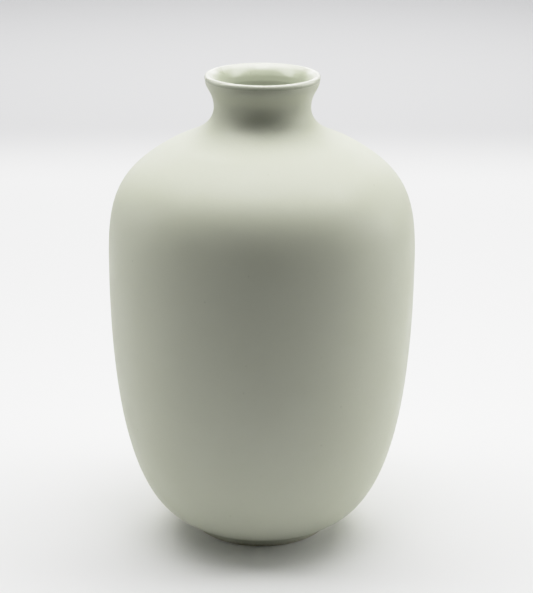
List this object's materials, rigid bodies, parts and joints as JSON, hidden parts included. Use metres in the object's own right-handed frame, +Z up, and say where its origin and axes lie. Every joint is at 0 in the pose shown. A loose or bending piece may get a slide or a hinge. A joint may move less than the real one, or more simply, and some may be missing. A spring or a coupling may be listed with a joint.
{
  "type": "sake bottle",
  "caption": "Round-shouldered sake bottle with a narrow flared neck, a thin lip, a recessed foot ring and a glossy glazed inside, for warming and pouring sake.",
  "frame": {"origin": "centre of the foot ring's resting face, on the bottle's axis", "axes": "+Z up along the bottle's axis, towards the mouth; the bottle is round, so +X and +Y are any two sides"},
  "size_m": [0.0816, 0.0816, 0.126],
  "materials": {
    "matte_stoneware": "matte pale celadon, very fine speckle",
    "bare_stoneware": "unglazed, ground flat",
    "clear_glaze": "glossy pale celadon glaze"
  },
  "bodies": {
    "root": {"foot_ring": "bare_stoneware", "body": "matte_stoneware", "neck": "matte_stoneware", "inner_glaze": "clear_glaze"}
  },
  "joints": []
}
